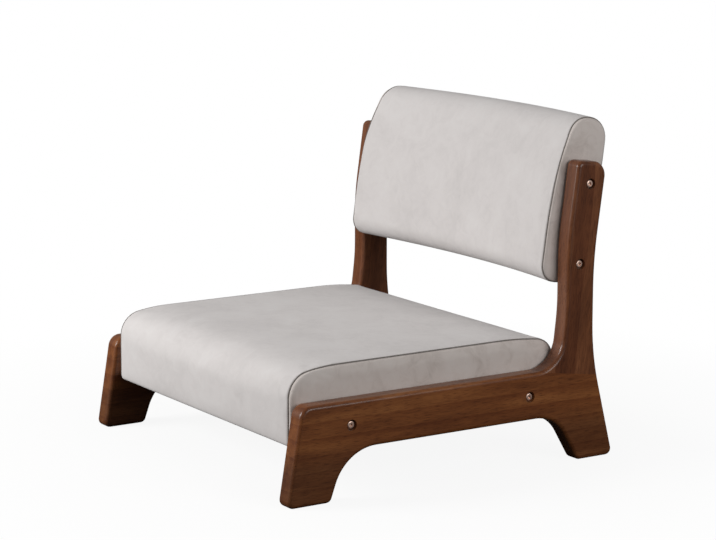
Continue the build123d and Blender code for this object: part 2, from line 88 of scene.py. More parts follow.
def lacquered_walnut(name, grain_turn, board_offset, browns, shade_height):
    """Stained walnut under satin lacquer, its grain along local X after the turn: slow brown
    figure, darker growth lines, and pores as fine dark streaks. Below the shade height the wood
    gets painted shade, darker towards the floor."""
    material, tree = new_material(name)
    place = add_node(tree, "ShaderNodeTexCoord").outputs["Object"]
    along = add_node(
        tree, "ShaderNodeMapping", {"Vector": place, "Rotation": grain_turn, "Location": board_offset}
    ).outputs["Vector"]
    # Figure: lighter and darker patches, 143 mm long and 18 mm across
    figure_length, figure_width = 142.86 * MM, 18.182 * MM
    figure_place = add_node(
        tree,
        "ShaderNodeMapping",
        {"Vector": along, "Scale": (1 / figure_length, 1 / figure_width, 1 / figure_width)},
    )
    figure = add_node(
        tree,
        "ShaderNodeTexNoise",
        {
            "Vector": figure_place.outputs["Vector"],
            "Scale": 1.0,
            "Detail": 4.0,
            "Roughness": 0.55,
            "Distortion": 0.3,
        },
    )
    brown = add_node(
        tree, "ShaderNodeValToRGB", {"Fac": figure.outputs["Fac"]}, list(zip((0.28, 0.5, 0.74), browns))
    )
    # Painted shade: the wood is darker towards the floor, fading in from this far above the shade height
    # to as far below
    shade_blend = 18 * MM
    height = add_node(tree, "ShaderNodeSeparateXYZ", {"Vector": place}).outputs["Z"]
    shade_fade = add_node(
        tree,
        "ShaderNodeMapRange",
        {"Value": height, "From Min": shade_height - shade_blend, "From Max": shade_height + shade_blend},
        interpolation_type="SMOOTHSTEP",
    )
    # The painted shade's colour, multiplied into the wood below the shade height
    painted_floor_shade = add_node(
        tree,
        "ShaderNodeValToRGB",
        {"Fac": shade_fade.outputs["Result"]},
        [(0.0, "#D0D3E2"), (1.0, "#FFFFFF")],
    )
    toned = add_node(
        tree,
        "ShaderNodeMix",
        {"Factor": 1.0, "A": brown.outputs["Color"], "B": painted_floor_shade.outputs["Color"]},
        data_type="RGBA",
        blend_type="MULTIPLY",
    )
    # Growth lines: 18 mm apart, and drawn out along the board so that they wander slowly. A wave
    # texture's bands lie pi / 10 / Scale metres apart.
    line_spacing = 18.48 * MM
    line_place = add_node(tree, "ShaderNodeMapping", {"Vector": along, "Scale": (0.12, 1, 1)})
    lines = add_node(
        tree,
        "ShaderNodeTexWave",
        {
            "Vector": line_place.outputs["Vector"],
            "Scale": math.pi / 10 / line_spacing,
            "Distortion": 5.0,
            "Detail": 3.0,
            "Detail Scale": 0.45,
            "Detail Roughness": 0.6,
        },
        bands_direction="Z",
        wave_profile="SAW",
    )
    line_shade = add_node(
        tree,
        "ShaderNodeValToRGB",
        {"Fac": lines.outputs["Fac"]},
        [(0.0, "#FFFFFF"), (0.7, "#F4EEEA"), (1.0, "#C8AEA0")],
    )
    lined = add_node(
        tree,
        "ShaderNodeMix",
        {"Factor": 0.6, "A": toned.outputs["Result"], "B": line_shade.outputs["Color"]},
        data_type="RGBA",
        blend_type="MULTIPLY",
    )
    # Pores: real ones are 0.2 mm wide, drawn 0.7 mm wide and 14 mm long so that they show
    pore_length, pore_width = 14.286 * MM, 0.7143 * MM
    pore_place = add_node(
        tree,
        "ShaderNodeMapping",
        {"Vector": along, "Scale": (1 / pore_length, 1 / pore_width, 1 / pore_width)},
    )
    pores = add_node(
        tree,
        "ShaderNodeTexNoise",
        {"Vector": pore_place.outputs["Vector"], "Scale": 1.0, "Detail": 2.0, "Roughness": 0.6},
    )
    pore_shade = add_node(
        tree, "ShaderNodeValToRGB", {"Fac": pores.outputs["Fac"]}, [(0.32, "#9A8478"), (0.5, "#FFFFFF")]
    )
    colored = add_node(
        tree,
        "ShaderNodeMix",
        {"Factor": 0.8, "A": lined.outputs["Result"], "B": pore_shade.outputs["Color"]},
        data_type="RGBA",
        blend_type="MULTIPLY",
    )
    relief = add_node(
        tree,
        "ShaderNodeBump",
        {"Height": pores.outputs["Fac"], "Strength": 0.12, "Distance": 0.2 * MM},
    )
    shader = add_node(
        tree,
        "ShaderNodeBsdfPrincipled",
        {
            "Base Color": colored.outputs["Result"],
            "Roughness": 0.42,
            "IOR": 1.5,
            "Specular IOR Level": 0.2,
            "Coat Weight": 0.4,
            "Coat Roughness": 0.2,
            "Normal": relief.outputs["Normal"],
        },
    )
    add_node(tree, "ShaderNodeOutputMaterial", {"Surface": shader.outputs["BSDF"]})
    return material


def finish(material, *node_names):
    """Gives CAD nodes a material."""
    for node_name in node_names:
        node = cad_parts[node_name]
        node.data.materials.clear()
        node.data.materials.append(material)
        for face in node.data.polygons:
            face.material_index = 0


QUARTER = math.pi / 2
base_browns = ("#66371B", "#844E28", "#9C6336")
# Painted shade darkens the base boards below this height, towards the floor
foot_shade_height = 58 * MM
# Each board is cut from another place in the timber, given in metres, so no two grains match
for side_name, offset in (("right", (0.31, 0.0, 0.013)), ("left", (1.73, 0.4, 0.042))):
    walnut = lacquered_walnut(
        "lacquered_walnut_base_" + side_name, (0, 0, -QUARTER), offset, base_browns, foot_shade_height
    )
    finish(walnut, side_name + "_base_board")


# ---- Posts
# The raked back posts are walnut too, sawn from a board whose grain runs up the post, and glued
# to the base board on two dowels. They carry the back pad on two bolts each.

bolt_low, bolt_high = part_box("back_bolts")
bolt_head_radius = 10 * MM / 2
low_bolt = Vector((0, bolt_low[1] + bolt_head_radius, bolt_low[2] + bolt_head_radius))
high_bolt = Vector((0, bolt_high[1] - bolt_head_radius, bolt_high[2] - bolt_head_radius))
post_lean = math.atan2(high_bolt.y - low_bolt.y, high_bolt.z - low_bolt.z)
up_post_turn = (post_lean, QUARTER, 0)
post_browns = ("#5A331E", "#744529", "#8B5737")
# The posts' painted shade height is at the floor, so it does not darken them
post_shade_height = 0.0
for side_name, offset in (("right", (0.9, 0.11, 0.027)), ("left", (2.3, 0.52, 0.066))):
    walnut = lacquered_walnut(
        "lacquered_walnut_post_" + side_name, up_post_turn, offset, post_browns, post_shade_height
    )
    finish(walnut, side_name + "_post")


# ---- Dowels
# Two turned beech dowels in each post joint, glued blind into both boards, so nothing of them
# shows on the finished chair.


def plain_wood(name, light, dark, grain_turn):
    """Unfinished timber: pale matt wood with soft bands of darker late wood, 111 mm long and
    5.6 mm across, which is coarser than real ones so that they show."""
    material, tree = new_material(name)
    band_length, band_width = 111.1 * MM, 5.556 * MM
    place = add_node(tree, "ShaderNodeTexCoord").outputs["Object"]
    along = add_node(tree, "ShaderNodeMapping", {"Vector": place, "Rotation": grain_turn})
    stretched = add_node(
        tree,
        "ShaderNodeMapping",
        {
            "Vector": along.outputs["Vector"],
            "Scale": (1 / band_length, 1 / band_width, 1 / band_width),
        },
    )
    bands = add_node(
        tree,
        "ShaderNodeTexNoise",
        {
            "Vector": stretched.outputs["Vector"],
            "Scale": 1.0,
            "Detail": 5.0,
            "Roughness": 0.6,
            "Distortion": 0.4,
        },
    )
    tone = add_node(
        tree, "ShaderNodeValToRGB", {"Fac": bands.outputs["Fac"]}, [(0.3, dark), (0.7, light)]
    )
    relief = add_node(
        tree,
        "ShaderNodeBump",
        {"Height": bands.outputs["Fac"], "Strength": 0.2, "Distance": 0.3 * MM},
    )
    shader = add_node(
        tree,
        "ShaderNodeBsdfPrincipled",
        {"Base Color": tone.outputs["Color"], "Roughness": 0.75, "Normal": relief.outputs["Normal"]},
    )
    add_node(tree, "ShaderNodeOutputMaterial", {"Surface": shader.outputs["BSDF"]})
    return material


turned_beech = plain_wood("turned_beech", "#D9B48A", "#C39A6C", up_post_turn)
finish(turned_beech, "left_post_dowels", "right_post_dowels")


# ---- Wooden frame inside the seat
# Five planed spruce rails, butted and screwed at the corners, with a 9 mm plywood deck screwed
# down on them. All of it is closed in by foam, cover and dust cover.

spruce_long = plain_wood("planed_spruce_long", "#E0C79B", "#C9A878", (0, 0, -QUARTER))
spruce_cross = plain_wood("planed_spruce_cross", "#E0C79B", "#C9A878", (0, 0, 0))
deck_plywood = plain_wood("birch_plywood_deck", "#DDBF92", "#CBA878", (0, 0, -QUARTER))
finish(spruce_long, "left_seat_side_rail", "right_seat_side_rail", "seat_center_rail")
finish(spruce_cross, "seat_front_rail", "seat_rear_rail")
finish(deck_plywood, "seat_deck")


# ---- Wood screws
# Countersunk steel screws with yellow zinc plate: long ones at the frame's corners, short ones
# through the deck. None of them shows from outside.


def plated_metal(name, light, dark, roughness, mark_size):
    """Plated or turned metal: a soft sheen broken up by faint marks of the given size."""
    material, tree = new_material(name)
    roughness_change = 0.06
    place = add_node(tree, "ShaderNodeTexCoord").outputs["Object"]
    marks = add_node(
        tree,
        "ShaderNodeTexNoise",
        {"Vector": place, "Scale": 1 / mark_size, "Detail": 3.0, "Roughness": 0.6},
    )
    tone = add_node(
        tree, "ShaderNodeValToRGB", {"Fac": marks.outputs["Fac"]}, [(0.3, dark), (0.7, light)]
    )
    spread = add_node(
        tree,
        "ShaderNodeMapRange",
        {
            "Value": marks.outputs["Fac"],
            "To Min": roughness - roughness_change,
            "To Max": roughness + roughness_change,
        },
    )
    relief = add_node(
        tree,
        "ShaderNodeBump",
        {"Height": marks.outputs["Fac"], "Strength": 0.1, "Distance": 0.05 * MM},
    )
    shader = add_node(
        tree,
        "ShaderNodeBsdfPrincipled",
        {
            "Base Color": tone.outputs["Color"],
            "Metallic": 1.0,
            "Roughness": spread.outputs["Result"],
            "Normal": relief.outputs["Normal"],
        },
    )
    add_node(tree, "ShaderNodeOutputMaterial", {"Surface": shader.outputs["BSDF"]})
    return material


yellow_zinc = plated_metal(
    "yellow_zinc_steel", "#D8C98F", "#BBA968", roughness=0.35, mark_size=0.8 * MM
)
finish(yellow_zinc, "seat_deck_screws", "seat_frame_screws")


# ---- Seat cushion
# A foam slab glued over the deck and wrapped in pale grey microfibre suede: one long panel runs
# from under the front edge over the top to the rear, and a gusset closes each side at a seam.


def rounded_outline(corners, step):
    """Closely spaced points round a closed polygon whose (a, b, radius) corners are rounded."""
    points = []
    count = len(corners)
    for index in range(count):
        before, here, after = (Vector(corners[(index + k) % count][:2]) for k in (-1, 0, 1))
        radius = corners[index][2]
        back, ahead = (before - here).normalized(), (after - here).normalized()
        half = back.angle(ahead) / 2
        middle = here + (back + ahead).normalized() * (radius / math.sin(half))
        start = here + back * (radius / math.tan(half)) - middle
        end = here + ahead * (radius / math.tan(half)) - middle
        sweep = start.angle_signed(end)
        steps = max(2, round(abs(sweep) * radius / step))
        for k in range(steps + 1):
            arm = Matrix.Rotation(-sweep * k / steps, 2) @ start
            points.append(middle + arm)
    return points


def resample(points, count):
    """count + 1 points evenly spaced along an open run of points, both ends included."""
    lengths = [0.0]
    for a, b in zip(points, points[1:]):
        lengths.append(lengths[-1] + (b - a).length)
    result, span = [], 0
    for k in range(count + 1):
        target = lengths[-1] * k / count
        while span < len(points) - 2 and lengths[span + 1] < target:
            span += 1
        gap = lengths[span + 1] - lengths[span]
        share = (target - lengths[span]) / gap if gap else 0.0
        result.append(points[span].lerp(points[span + 1], min(1.0, share)))
    return result


def two_halves(corners, axis, count):
    """The outline as one closed ring that starts at its lowest point along the axis, turns at its
    highest, and has count steps on each half. Where an end is flat, its middle counts."""
    arc_step, line_step = 0.5 * MM, 1 * MM
    dense = rounded_outline(corners, arc_step)
    ring = []
    for a, b in zip(dense, dense[1:] + dense[:1]):
        pieces = max(1, math.ceil((b - a).length / line_step))
        ring += [a.lerp(b, k / pieces) for k in range(pieces)]
    other = 1 - axis
    center = (min(p[other] for p in ring) + max(p[other] for p in ring)) / 2
    low, high = (
        min(range(len(ring)), key=lambda i: (sign * round(ring[i][axis], 5), abs(ring[i][other] - center)))
        for sign in (1, -1)
    )
    ring = ring[low:] + ring[:low]
    turn = (high - low) % len(ring)
    return resample(ring[:turn + 1], count)[:-1] + resample(ring[turn:] + ring[:1], count)[:-1]


def outward(ring):
    """The outward direction at each point of a ring that runs clockwise or anticlockwise."""
    count = len(ring)
    area = sum(ring[i].cross(ring[(i + 1) % count]) for i in range(count))
    sign = 1 if area > 0 else -1
    alongs = [(ring[(i + 1) % count] - ring[i - 1]).normalized() for i in range(count)]
    return [Vector((along.y, -along.x)) * sign for along in alongs]


def add_object(name, data):
    """Puts a mesh, curve, lamp or camera into the scene as an object."""
    placed = bpy.data.objects.new(name, data)
    bpy.context.scene.collection.objects.link(placed)
    return placed


def cushion_mesh(name, ring, stations, cap_rows, place):
    """A closed grid: one copy of the ring at each station, and rows that fill both flat ends.
    place(station, index, point) puts a point of the ring into the chair."""
    mesh = bmesh.new()
    count = len(ring)
    half = count // 2
    rings = []
    for station in stations:
        rings.append([mesh.verts.new(place(station, i, ring[i])) for i in range(count)])
    for near, far in zip(rings, rings[1:]):
        for i in range(count):
            j = (i + 1) % count
            mesh.faces.new((near[i], near[j], far[j], far[i]))
    for edge in (rings[0], rings[-1]):
        columns = [[edge[0]]]
        for i in range(1, half):
            a, b = edge[i], edge[count - i]
            inner = [mesh.verts.new(a.co.lerp(b.co, k / cap_rows)) for k in range(1, cap_rows)]
            columns.append([a, *inner, b])
        columns.append([edge[half]])
        for one, two in zip(columns, columns[1:]):
            if len(one) == 1 or len(two) == 1:
                tip, side = (one[0], two) if len(one) == 1 else (two[0], one)
                for a, b in zip(side, side[1:]):
                    mesh.faces.new((tip, a, b))
            else:
                for k in range(cap_rows):
                    mesh.faces.new((one[k], two[k], two[k + 1], one[k + 1]))
    bmesh.ops.recalc_face_normals(mesh, faces=mesh.faces)
    data = bpy.data.meshes.new(name)
    mesh.to_mesh(data)
    mesh.free()
    return add_object(name, data)


def inflate(piece, held, reach):
    """Fills the cover like stuffing does: a cloth simulation under pressure, with the held points
    fixed and each other point stopped short of its own reach."""
    last_frame = 20
    start = [vertex.co.copy() for vertex in piece.data.vertices]
    group = piece.vertex_groups.new(name="held")
    group.add([i for i in range(len(start)) if held[i]], 1.0, "REPLACE")
    cloth = piece.modifiers.new("stuffing", "CLOTH")
    cloth.settings.quality = 6
    cloth.settings.mass = 0.3
    cloth.settings.tension_stiffness = 12
    cloth.settings.compression_stiffness = 12
    cloth.settings.shear_stiffness = 6
    cloth.settings.bending_stiffness = 0.6
    cloth.settings.vertex_group_mass = "held"
    cloth.settings.use_pressure = True
    cloth.settings.uniform_pressure_force = 4
    cloth.settings.effector_weights.gravity = 0
    cloth.point_cache.frame_start = 1
    cloth.point_cache.frame_end = last_frame
    scene = bpy.context.scene
    for number in range(1, last_frame + 1):
        scene.frame_set(number)
    shape = piece.evaluated_get(bpy.context.evaluated_depsgraph_get()).data
    moved = [vertex.co.copy() for vertex in shape.vertices]
    piece.modifiers.remove(cloth)
    scene.frame_set(1)
    for vertex, old, new, limit in zip(piece.data.vertices, start, moved, reach):
        step = new - old
        if step.length and limit:
            vertex.co = old + step.normalized() * (limit * math.tanh(step.length / limit))


def suede(name, grays):
    """Microfibre suede in pale warm grey: matt with a soft sheen, and cloudy where its nap lies in
    different directions, in clouds 71 mm and strokes 17 mm across. Its fine fibre is drawn 0.9 mm
    across so that it shows."""
    material, tree = new_material(name)
    cloud_size, stroke_size, fibre_size = 71.43 * MM, 16.667 * MM, 0.9091 * MM
    place = add_node(tree, "ShaderNodeTexCoord").outputs["Object"]
    clouds = add_node(
        tree,
        "ShaderNodeTexNoise",
        {"Vector": place, "Scale": 1 / cloud_size, "Detail": 3.0, "Roughness": 0.55, "Distortion": 0.6},
    )
    strokes = add_node(
        tree,
        "ShaderNodeTexNoise",
        {"Vector": place, "Scale": 1 / stroke_size, "Detail": 4.0, "Roughness": 0.65, "Distortion": 1.2},
    )
    nap = add_node(
        tree,
        "ShaderNodeMix",
        {"Factor": 0.4, "A": clouds.outputs["Fac"], "B": strokes.outputs["Fac"]},
        data_type="FLOAT",
    )
    tone = add_node(
        tree, "ShaderNodeValToRGB", {"Fac": nap.outputs["Result"]}, list(zip((0.3, 0.5, 0.7), grays))
    )
    fibre = add_node(
        tree,
        "ShaderNodeTexNoise",
        {"Vector": place, "Scale": 1 / fibre_size, "Detail": 2.0, "Roughness": 0.7},
    )
    relief = add_node(
        tree,
        "ShaderNodeBump",
        {"Height": fibre.outputs["Fac"], "Strength": 0.25, "Distance": 0.25 * MM},
    )
    soft = add_node(
        tree,
        "ShaderNodeBump",
        {
            "Height": strokes.outputs["Fac"],
            "Strength": 0.1,
            "Distance": 0.6 * MM,
            "Normal": relief.outputs["Normal"],
        },
    )
    shader = add_node(
        tree,
        "ShaderNodeBsdfPrincipled",
        {
            "Base Color": tone.outputs["Color"],
            "Roughness": 0.85,
            "Specular IOR Level": 0.2,
            "Sheen Weight": 0.12,
            "Sheen Roughness": 0.5,
            "Normal": soft.outputs["Normal"],
        },
    )
    add_node(tree, "ShaderNodeOutputMaterial", {"Surface": shader.outputs["BSDF"]})
    return material


def smooth(piece, levels):
    """Smooth shading over a subdivided grid."""
    for face in piece.data.polygons:
        face.use_smooth = True
    rounding = piece.modifiers.new("rounding", "SUBSURF")
    rounding.levels = levels
    rounding.render_levels = levels


def half_stations(seam_x, spacing, gusset_steps):
    """Stations from the middle to one side: ("panel", x) up to the seam, with close rows by it,
    and ("gusset", share) from the seam to the side."""
    even_part = seam_x - 6 * MM
    close_gaps = (4 * MM, 2.6 * MM, 1.3 * MM)
    rows = round(even_part / spacing)
    panel = [("panel", even_part * k / rows) for k in range(rows + 1)]
    panel += [("panel", seam_x - gap) for gap in close_gaps]
    gusset = [("gusset", (k + 1) / gusset_steps) for k in range(gusset_steps)]
    return panel + [("seam", seam_x)] + gusset


def both_sides(half):
    """The stations mirrored: from the left side through the middle to the right side."""
    left = [(kind, value, -1) for kind, value in reversed(half[1:])]
    return left + [(kind, value, 1) for kind, value in half]


def edge_round(value, seam_x, radius):
    """How far a panel has turned in towards its seam, at a distance from the middle."""
    past = max(0.0, value - seam_x + radius * math.sin(EDGE_TURN))
    return radius - math.sqrt(radius**2 - past**2)


# A panel turns this far round its edge before the seam catches it
EDGE_TURN = math.radians(42)
gusset_low, gusset_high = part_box("right_seat_gusset")
seat_panel_rise = 0.4 * MM
seat_seam_x, seat_side_x = gusset_low[0], gusset_high[0]
seat_front, seat_bottom = gusset_low[1], gusset_low[2]
seat_rear, seat_top = gusset_high[1], gusset_high[2] + seat_panel_rise
seat_nose_run, seat_nose_drop = 49.5 * MM, 8.5 * MM
seat_tail_run, seat_tail_drop = 53.4 * MM, 7.3 * MM
seat_lip, seat_lip_width = 6.6 * MM, 9 * MM
seat_corners = [
    (seat_front, seat_bottom - seat_lip, 3.5 * MM),
    (seat_front, seat_top - seat_nose_drop, 32 * MM),
    (seat_front + seat_nose_run, seat_top, 255 * MM),
    (seat_rear - seat_tail_run, seat_top, 420 * MM),
    (seat_rear, seat_top - seat_tail_drop, 27 * MM),
    (seat_rear, seat_bottom, 5 * MM),
    (seat_front + seat_lip_width, seat_bottom, 4 * MM),
]
seat_ring = two_halves(seat_corners, axis=0, count=92)
seat_out = outward(seat_ring)
seat_middle = Vector(((seat_front + seat_rear) / 2, (seat_bottom + seat_top) / 2))
seat_draw_in = 17 * MM
seat_corner_tuck = 7 * MM
seat_tuck_power = 8
seat_edge_radius = 4 * MM
gusset_power = 0.8


def place_on_seat(station, index, point):
    """A point of the seat's outline at a station across the cushion. The cover's lower corners
    are tucked in round the ends of the front edge."""
    kind, value, side = station
    low = max(0.0, seat_corner_tuck - (point.y - seat_bottom + seat_lip))
    tuck = seat_corner_tuck - math.sqrt(seat_corner_tuck**2 - min(low, seat_corner_tuck)**2)
    if kind != "gusset":
        turned = point - seat_out[index] * edge_round(value, seat_seam_x, seat_edge_radius)
        tucked = value - tuck * (value / seat_seam_x) ** seat_tuck_power
        return Vector((side * tucked, turned.x, turned.y))
    angle = value * QUARTER
    x = seat_seam_x + (seat_side_x - seat_seam_x) * math.sin(angle) ** gusset_power
    arm = point - seat_out[index] * seat_edge_radius * (1 - math.cos(EDGE_TURN)) - seat_middle
    inward = seat_draw_in * (1 - math.cos(angle))
    arm = Vector((
        arm.x * (1 - inward / (seat_rear - seat_middle.x)),
        arm.y * (1 - inward / (seat_top - seat_middle.y)),
    ))
    return Vector((side * (x - tuck), seat_middle.x + arm.x, seat_middle.y + arm.y))


row_spacing = 6 * MM
seat_stations = both_sides(half_stations(seat_seam_x, row_spacing, gusset_steps=6))
seat_pad = cushion_mesh("seat_pad", seat_ring, seat_stations, cap_rows=14, place=place_on_seat)
seat_crown = 1.6 * MM
seat_swell = 0.5 * MM
seat_gusset_swell = 1.0 * MM
stapled_height = 2 * MM
seam_reach = 0.1 * MM


def seat_reach(point):
    """How far the stuffing may push a point of the seat cover."""
    if point.z < seat_bottom + stapled_height:
        return 0.0
    if abs(point.x) > seat_seam_x:
        return seat_gusset_swell
    return seat_crown * (1 - (point.x / seat_seam_x) ** 2) + seat_swell


def seat_held(point):
    """Whether a point of the seat cover is stapled under the seat or sewn at a seam."""
    return point.z < seat_bottom + stapled_height or abs(abs(point.x) - seat_seam_x) < seam_reach


seat_places = [vertex.co.copy() for vertex in seat_pad.data.vertices]
inflate(seat_pad, [seat_held(p) for p in seat_places], [seat_reach(p) for p in seat_places])


def press_flat(piece, side_x):
    """Keeps a cushion off the boards beside it."""
    for vertex in piece.data.vertices:
        if abs(vertex.co.x) > side_x:
            vertex.co.x = math.copysign(side_x, vertex.co.x)


press_flat(seat_pad, seat_side_x)
seam_depth = 1.2 * MM
cord_sink = 0.5 * MM


def sew_seam(piece, stations, ring_size, middle_of):
    """Pulls the row of points at each seam into the cushion, as the stitches do, and returns two
    rows of points for the cords that lie in the seams."""
    rows = []
    for row, station in enumerate(stations):
        if station[0] != "seam":
            continue
        line = []
        for i in range(ring_size):
            vertex = piece.data.vertices[row * ring_size + i]
            inward = middle_of(vertex.co) - vertex.co
            inward.x = 0
            line.append(vertex.co + inward.normalized() * cord_sink)
            vertex.co += inward.normalized() * seam_depth
        rows.append(line)
    return rows


def seat_core(point):
    """The point of the seat's long middle line nearest to a point of its cover."""
    reach = seat_top - seat_middle.y
    y = min(max(point.y, seat_front + reach), seat_rear - reach)
    return Vector((point.x, y, seat_middle.y))


seat_seams = sew_seam(seat_pad, seat_stations, len(seat_ring), seat_core)
smooth(seat_pad, 1)


def cover_with(piece, stations, ring_size, panel_cloth, shaded_gusset_cloth):
    """Gives the long panel one suede and the gussets and side walls the other, the darker copy with
    painted shade.
    """
    piece.data.materials.append(panel_cloth)
    piece.data.materials.append(shaded_gusset_cloth)
    for face in piece.data.polygons:
        row = face.index // ring_size
        past_panel = row >= len(stations) - 1
        if past_panel or "gusset" in (stations[row][0], stations[row + 1][0]):
            face.material_index = 1


# The gussets get a darker, warmer copy of the suede: painted shade, and painted warm light bounced from
# the wood
panel_suede = suede("microfibre_suede_panel", ("#CFCAC8", "#D8D3D1", "#DDD9D7"))
shaded_gusset_suede = suede("microfibre_suede_gusset_painted_shade", ("#BFB4AD", "#D8CEC8", "#DFD7D2"))
cover_with(seat_pad, seat_stations, len(seat_ring), panel_suede, shaded_gusset_suede)
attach(seat_pad, "root")
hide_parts("seat_foam", "seat_cover", "left_seat_gusset", "right_seat_gusset")


# ---- Seat seam cord
# A thin cord of the same cloth, sewn into each side seam of the seat. It sits half sunk between
# panel and gusset, and its grey is darker than the cloth's as painted shade of the seam's groove,
# so it reads as a fine dark line.


def shaded_cord_material(name):
    """The seam's cord and stitches: a grey much darker than the cloth, which is painted shade
    of the fold into the seam, in marks 3 mm long as the stitches break it up."""
    material, tree = new_material(name)
    stitch_length = 3.03 * MM
    place = add_node(tree, "ShaderNodeTexCoord").outputs["Object"]
    stitches = add_node(
        tree,
        "ShaderNodeTexNoise",
        {"Vector": place, "Scale": 1 / stitch_length, "Detail": 2.0, "Roughness": 0.5},
    )
    tone = add_node(
        tree,
        "ShaderNodeValToRGB",
        {"Fac": stitches.outputs["Fac"]},
        [(0.35, "#77716C"), (0.65, "#8C8682")],
    )
    relief = add_node(
        tree,
        "ShaderNodeBump",
        {"Height": stitches.outputs["Fac"], "Strength": 0.5, "Distance": 0.3 * MM},
    )
    shader = add_node(
        tree,
        "ShaderNodeBsdfPrincipled",
        {
            "Base Color": tone.outputs["Color"],
            "Roughness": 0.9,
            "Specular IOR Level": 0.2,
            "Normal": relief.outputs["Normal"],
        },
    )
    add_node(tree, "ShaderNodeOutputMaterial", {"Surface": shader.outputs["BSDF"]})
    return material


def seam_cord(name, line, closed, radius):
    """A cord of round section along a line of points."""
    curve = bpy.data.curves.new(name, "CURVE")
    curve.dimensions = "3D"
    spline = curve.splines.new("POLY")
    spline.points.add(len(line) - 1)
    for point, co in zip(spline.points, line):
        point.co = (*co, 1)
    spline.use_cyclic_u = closed
    spline.use_smooth = True
    curve.bevel_depth = radius
    curve.bevel_resolution = 3
    curve.use_fill_caps = True
    return add_object(name, curve)


seam_cord_radius = 0.9 * MM
# The cord's grey is darker than the cloth's: painted shade of the seam's groove
cord_painted_shade = shaded_cord_material("suede_seam_cord_painted_shade")
for side_name, line in zip(("left", "right"), seat_seams):
    above = [i for i in range(len(line)) if line[i].z > seat_bottom + stapled_height]
    first = next(i for i in above if (i - 1) % len(line) not in above)
    shown = [line[(first + k) % len(line)] for k in range(len(above))]
    cord = seam_cord(side_name + "_seat_seam_cord", shown, closed=False, radius=seam_cord_radius)
    cord.data.materials.append(cord_painted_shade)
    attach(cord, "root")
    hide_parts(side_name + "_seat_piping")


# ---- Dust cover
# A sheet of black non-woven cloth stapled under the seat frame, which hides the inside of the
# cushion from below. It hangs a little slack inside its stapled edge.

dust_low, dust_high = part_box("seat_dust_cover")
dust_width, dust_depth = dust_high[0] - dust_low[0], dust_high[1] - dust_low[1]
dust_thickness = 0.3 * MM
slack_depth, taut_squares = 0.6 * MM, 6
ripple_share, ripple_x, ripple_y = 0.5, 0.9, 0.7
columns, rows = 40, 36
sheet = bmesh.new()
grid = []
for j in range(rows + 1):
    for i in range(columns + 1):
        x = dust_low[0] + dust_width * i / columns
        y = dust_low[1] + dust_depth * j / rows
        edge = min(i, columns - i, j, rows - j)
        ripple = 1 + ripple_share * math.sin(i * ripple_x) * math.sin(j * ripple_y)
        slack = slack_depth * min(1.0, edge / taut_squares) * ripple
        grid.append(sheet.verts.new((x, y, dust_high[2] - dust_thickness - slack)))
for j in range(rows):
    for i in range(columns):
        a = j * (columns + 1) + i
        sheet.faces.new((grid[a], grid[a + 1], grid[a + columns + 2], grid[a + columns + 1]))
dust_mesh = bpy.data.meshes.new("dust_cover")
sheet.to_mesh(dust_mesh)
sheet.free()
dust_cover = add_object("dust_cover", dust_mesh)
thickness = dust_cover.modifiers.new("thickness", "SOLIDIFY")
thickness.thickness = dust_thickness
smooth(dust_cover, 1)


def nonwoven(name):
    """Spun non-woven cloth: near black, matt, with pressed dots that are drawn 2 mm apart."""
    material, tree = new_material(name)
    dot_spacing = 2 * MM
    place = add_node(tree, "ShaderNodeTexCoord").outputs["Object"]
    dots = add_node(
        tree, "ShaderNodeTexVoronoi", {"Vector": place, "Scale": 1 / dot_spacing, "Randomness": 0.3}
    )
    tone = add_node(
        tree,
        "ShaderNodeValToRGB",
        {"Fac": dots.outputs["Distance"]},
        [(0.1, "#141414"), (0.5, "#242322")],
    )
    relief = add_node(
        tree,
        "ShaderNodeBump",
        {"Height": dots.outputs["Distance"], "Strength": 0.4, "Distance": 0.3 * MM},
    )
    shader = add_node(
        tree,
        "ShaderNodeBsdfPrincipled",
        {"Base Color": tone.outputs["Color"], "Roughness": 0.95, "Normal": relief.outputs["Normal"]},
    )
    add_node(tree, "ShaderNodeOutputMaterial", {"Surface": shader.outputs["BSDF"]})
    return material


dust_cover.data.materials.append(nonwoven("black_nonwoven"))
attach(dust_cover, "root")
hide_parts("seat_dust_cover")


# ---- Wooden frame inside the back pad
# Two stiles and two rails of spruce sawn to the pad's curve, faced in front and behind with
# bent plywood panels that carry the foam.

spruce_stile = plain_wood("sawn_spruce_stile", "#E0C79B", "#C9A878", up_post_turn)
bent_plywood = plain_wood("bent_birch_plywood", "#DDBF92", "#CBA878", (0, 0, 0))
finish(spruce_stile, "left_back_stile", "right_back_stile")
finish(spruce_cross, "back_bottom_rail", "back_top_rail")
finish(bent_plywood, "back_front_panel", "back_rear_panel")


# ---- Back cushion
# Foam on both faces of the curved frame, wrapped in the same suede: one long panel goes over
# the top from front to rear, with a gusset in each side. It leans with the posts.

back_low, back_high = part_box("right_back_gusset")
back_side_x = back_high[0]
back_seam_x = back_low[0]
back_concavity = 24.3 * MM
back_radius = (back_seam_x**2 + back_concavity**2) / (2 * back_concavity)
back_bottom, back_top = -28.4 * MM, 181.2 * MM
back_half_depth = 38 * MM
back_corners = [
    (-back_half_depth, back_bottom, 22 * MM),
    (-38.1 * MM, 50 * MM, 600 * MM),
    (-33.5 * MM, 117 * MM, 260 * MM),
    (-12.9 * MM, back_top, 30 * MM),
    (40.8 * MM, back_top, 26 * MM),
    (30.7 * MM, back_bottom, 20 * MM),
]
back_ring = two_halves(back_corners, axis=1, count=48)
back_out = outward(back_ring)
back_middle = Vector((-1 * MM, (back_top + back_bottom) / 2))
back_draw_in = 13 * MM
back_edge_radius = 5 * MM
taper_start = 85 * MM
top_draw_in = 7.7 * MM
top_side_taper = 3 * MM
top_crown, top_crown_height = 3.4 * MM, 30 * MM


